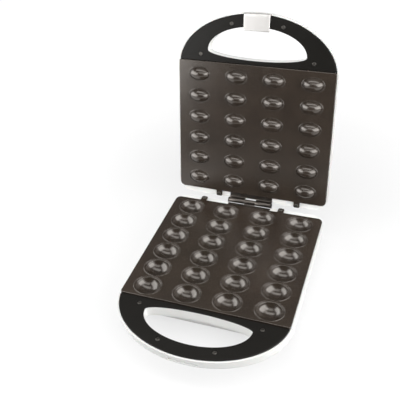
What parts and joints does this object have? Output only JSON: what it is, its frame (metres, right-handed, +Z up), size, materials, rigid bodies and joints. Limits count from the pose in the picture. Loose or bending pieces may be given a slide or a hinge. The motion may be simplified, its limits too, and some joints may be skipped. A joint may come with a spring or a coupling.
{
  "type": "electric nut cookie maker",
  "caption": "Hinged countertop baker, shown open: two coated mould plates in white casings with black-faced loop handles and a folding latch clip.",
  "frame": {"origin": "middle of the open appliance's footprint, on the surface it stands on", "axes": "+Z up, +Y towards the hinge and the open lid, -Y towards the base's handle, +X to the user's right"},
  "size_m": [0.255, 0.4143, 0.3413],
  "materials": {
    "white_shell": "smooth satin-gloss moulding",
    "black_frame": "fine matt moulding",
    "cast_plate": "cast aluminium with a dark satin non-stick coating",
    "bright_steel": "bright zinc-plated steel",
    "hinge_steel": "satin zinc-plated steel",
    "clip_metal": "bright satin steel",
    "element_sheath": "heat-darkened steel sheath",
    "tray_sheet": "bright sheet",
    "rubber_foot": "matt rubber",
    "block_ceramic": "glazed",
    "phenolic": "pressed board",
    "wire_sleeve": "woven glass sleeve",
    "lamp_glass": "clear",
    "red_lens": "clear tinted",
    "green_lens": "clear tinted",
    "gland_black": "matt"
  },
  "bodies": {
    "base": {"base_shell": "white_shell", "base_handle_frame": "black_frame", "base_frame_screws": "bright_steel", "lower_plate": "cast_plate", "lower_plate_screws": "bright_steel", "hinge_base_screws": "bright_steel", "hinge_base_leaf": "hinge_steel", "hinge_pin": "hinge_steel", "lower_heating_element": "element_sheath", "lower_element_straps": "bright_steel", "lower_strap_screws": "bright_steel", "lower_reflector": "tray_sheet", "lower_reflector_screws": "bright_steel", "thermostat": "phenolic", "thermal_fuse": "bright_steel", "terminal_block": "block_ceramic", "cord_gland": "gland_black", "base_wires": "wire_sleeve", "rubber_feet": "rubber_foot"},
    "lid": {"lid_shell": "white_shell", "lid_handle_frame": "black_frame", "lid_frame_screws": "bright_steel", "upper_plate": "cast_plate", "upper_plate_screws": "bright_steel", "hinge_lid_screws": "bright_steel", "hinge_lid_leaf": "hinge_steel", "latch_pin": "bright_steel", "upper_heating_element": "element_sheath", "upper_element_straps": "bright_steel", "upper_strap_screws": "bright_steel", "upper_reflector": "tray_sheet", "upper_reflector_screws": "bright_steel", "lid_wires": "wire_sleeve", "lamp_board": "phenolic", "lamp_board_screws": "bright_steel", "indicator_lamps": "lamp_glass", "power_lens": "red_lens", "ready_lens": "green_lens"},
    "latch": {"latch_clip": "clip_metal"}
  },
  "joints": [
    {"name": "lid_hinge", "type": "hinge", "parent": "base", "child": "lid", "pos_m": [0, 0.0996, 0.049], "axis": [1, 0, 0], "range_deg": [0, 106.5]},
    {"name": "latch_pivot", "type": "hinge", "parent": "lid", "child": "latch", "pos_m": [0, 0.19327, 0.33601], "axis": [-1, 0, 0], "range_deg": [0, 130]}
  ]
}
